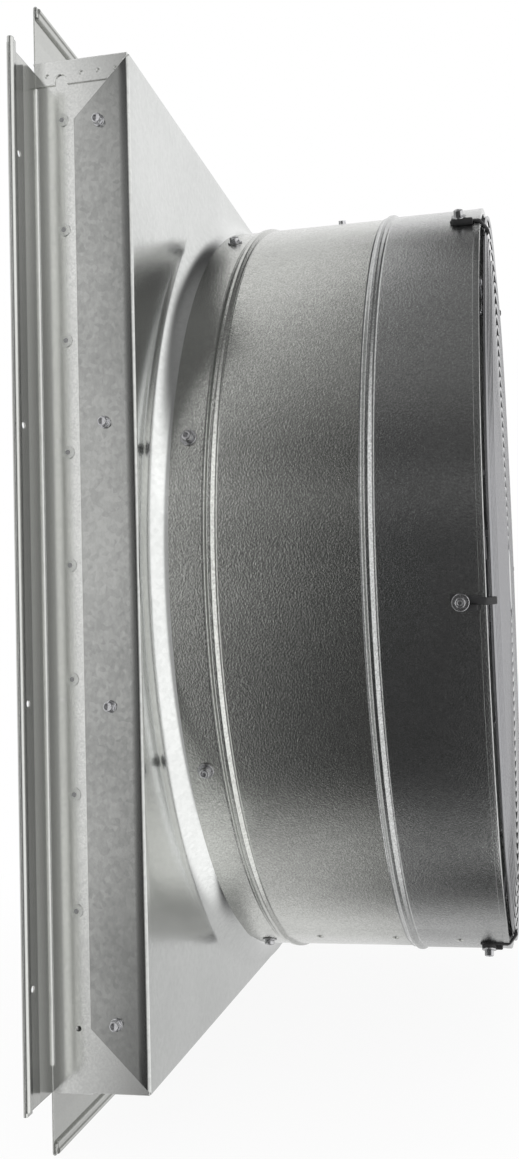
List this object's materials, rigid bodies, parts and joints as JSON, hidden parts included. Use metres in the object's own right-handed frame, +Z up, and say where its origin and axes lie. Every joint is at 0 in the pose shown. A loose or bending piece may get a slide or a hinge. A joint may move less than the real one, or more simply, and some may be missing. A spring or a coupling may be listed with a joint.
{
  "type": "whole house fan",
  "caption": "Galvanized whole house fan: flanged square box with gravity louvers, bell-mouth panel, beaded drum, direct-drive motor with propeller and a ring guard.",
  "frame": {"origin": "on the fan axis, in the drum-side face of the wall flange's sheet", "axes": "+X along the fan axis from the louvers to the guard, +Z up, the side seen in the picture faces -Y"},
  "size_m": [0.3673, 0.94, 0.94],
  "materials": {
    "galvanized_box": "galvanized sheet, faint spangle",
    "galvanized_panel": "galvanized sheet, smooth and bright",
    "galvanized_drum": "galvanized sheet, fine mottled spangle",
    "galvanized_rim": "darker galvanized sheet, fine mottled spangle",
    "galvanized_rails": "galvanized sheet",
    "zinc_fasteners": "zinc-plated steel",
    "motor_paint": "grey-black enamel",
    "core_steel": "laminated core steel",
    "winding_copper": "enamelled copper wire",
    "bright_steel": "ground steel",
    "capacitor_can": "drawn aluminium can",
    "black_rubber": "matt black rubber",
    "lead_conduit": "flexible conduit",
    "guard_wire": "bright zinc-plated wire",
    "blade_steel": "galvanized steel sheet",
    "hub_iron": "painted iron",
    "louver_aluminium": "mill finish aluminium sheet",
    "rod_steel": "zinc-plated rod"
  },
  "bodies": {
    "housing": {"frame_top": "galvanized_box", "frame_bottom": "galvanized_box", "frame_near": "galvanized_box", "frame_far": "galvanized_box", "header_strip": "galvanized_box", "sill_strip": "galvanized_box", "venturi_panel": "galvanized_panel", "bell_mouth": "galvanized_panel", "panel_screws": "zinc_fasteners", "pivot_bushings": "zinc_fasteners", "drum": "galvanized_drum", "drum_extension": "galvanized_rim", "collar_bolts": "zinc_fasteners", "seam_rivets": "galvanized_drum", "motor_rails": "galvanized_rails", "motor_plate": "galvanized_rails", "rail_bolts": "zinc_fasteners", "motor_shell": "motor_paint", "motor_front_bell": "motor_paint", "motor_rear_bell": "motor_paint", "stator_core": "core_steel", "stator_windings": "winding_copper", "front_bearing": "bright_steel", "rear_bearing": "bright_steel", "through_bolts": "zinc_fasteners", "capacitor": "capacitor_can", "capacitor_strap": "galvanized_rails", "junction_box": "galvanized_rails", "junction_cover": "galvanized_rails", "cover_screws": "zinc_fasteners", "cable_bushings": "black_rubber", "motor_lead": "lead_conduit", "guard_rings": "guard_wire", "guard_spokes": "guard_wire", "guard_clips": "black_rubber", "clip_screws": "zinc_fasteners"},
    "rotor": {"rotor_shaft": "bright_steel", "rotor_core": "core_steel", "fan_hub": "hub_iron", "fan_blades": "blade_steel", "blade_rivets": "zinc_fasteners", "hub_set_screw": "zinc_fasteners"},
    "shutter_1": {"louver_1": "louver_aluminium", "louver_rod_1": "rod_steel"},
    "shutter_2": {"louver_2": "louver_aluminium", "louver_rod_2": "rod_steel"},
    "shutter_3": {"louver_3": "louver_aluminium", "louver_rod_3": "rod_steel"},
    "shutter_4": {"louver_4": "louver_aluminium", "louver_rod_4": "rod_steel"},
    "shutter_5": {"louver_5": "louver_aluminium", "louver_rod_5": "rod_steel"},
    "shutter_6": {"louver_6": "louver_aluminium", "louver_rod_6": "rod_steel"},
    "shutter_7": {"louver_7": "louver_aluminium", "louver_rod_7": "rod_steel"},
    "shutter_8": {"louver_8": "louver_aluminium", "louver_rod_8": "rod_steel"},
    "link": {"tie_bar": "louver_aluminium", "tie_bar_pins": "zinc_fasteners"}
  },
  "joints": [
    {"name": "rotor_spin", "type": "hinge", "parent": "housing", "child": "rotor", "pos_m": [0.163, 0, 0], "axis": [1, 0, 0], "continuous": true},
    {"name": "louver_1_swing", "type": "hinge", "parent": "housing", "child": "shutter_1", "pos_m": [0.0228, 0, 0.37], "axis": [0, 1, 0], "range_deg": [0, 70]},
    {"name": "louver_2_swing", "type": "hinge", "parent": "housing", "child": "shutter_2", "pos_m": [0.0228, 0, 0.2775], "axis": [0, 1, 0], "range_deg": [0, 70]},
    {"name": "louver_3_swing", "type": "hinge", "parent": "housing", "child": "shutter_3", "pos_m": [0.0228, 0, 0.185], "axis": [0, 1, 0], "range_deg": [0, 70]},
    {"name": "louver_4_swing", "type": "hinge", "parent": "housing", "child": "shutter_4", "pos_m": [0.0228, 0, 0.0925], "axis": [0, 1, 0], "range_deg": [0, 70]},
    {"name": "louver_5_swing", "type": "hinge", "parent": "housing", "child": "shutter_5", "pos_m": [0.0228, 0, 0], "axis": [0, 1, 0], "range_deg": [0, 70]},
    {"name": "louver_6_swing", "type": "hinge", "parent": "housing", "child": "shutter_6", "pos_m": [0.0228, 0, -0.0925], "axis": [0, 1, 0], "range_deg": [0, 70]},
    {"name": "louver_7_swing", "type": "hinge", "parent": "housing", "child": "shutter_7", "pos_m": [0.0228, 0, -0.185], "axis": [0, 1, 0], "range_deg": [0, 70]},
    {"name": "louver_8_swing", "type": "hinge", "parent": "housing", "child": "shutter_8", "pos_m": [0.0228, 0, -0.2775], "axis": [0, 1, 0], "range_deg": [0, 70]},
    {"name": "tie_bar_swing", "type": "hinge", "parent": "shutter_1", "child": "link", "pos_m": [0.0468, 0, 0.37], "axis": [0, 1, 0], "range_deg": [-70, 0]}
  ],
  "couplings": [
    {"joint": "louver_2_swing", "follows": "louver_1_swing", "ratio": 1},
    {"joint": "louver_3_swing", "follows": "louver_1_swing", "ratio": 1},
    {"joint": "louver_4_swing", "follows": "louver_1_swing", "ratio": 1},
    {"joint": "louver_5_swing", "follows": "louver_1_swing", "ratio": 1},
    {"joint": "louver_6_swing", "follows": "louver_1_swing", "ratio": 1},
    {"joint": "louver_7_swing", "follows": "louver_1_swing", "ratio": 1},
    {"joint": "louver_8_swing", "follows": "louver_1_swing", "ratio": 1},
    {"joint": "tie_bar_swing", "follows": "louver_1_swing", "ratio": -1}
  ]
}
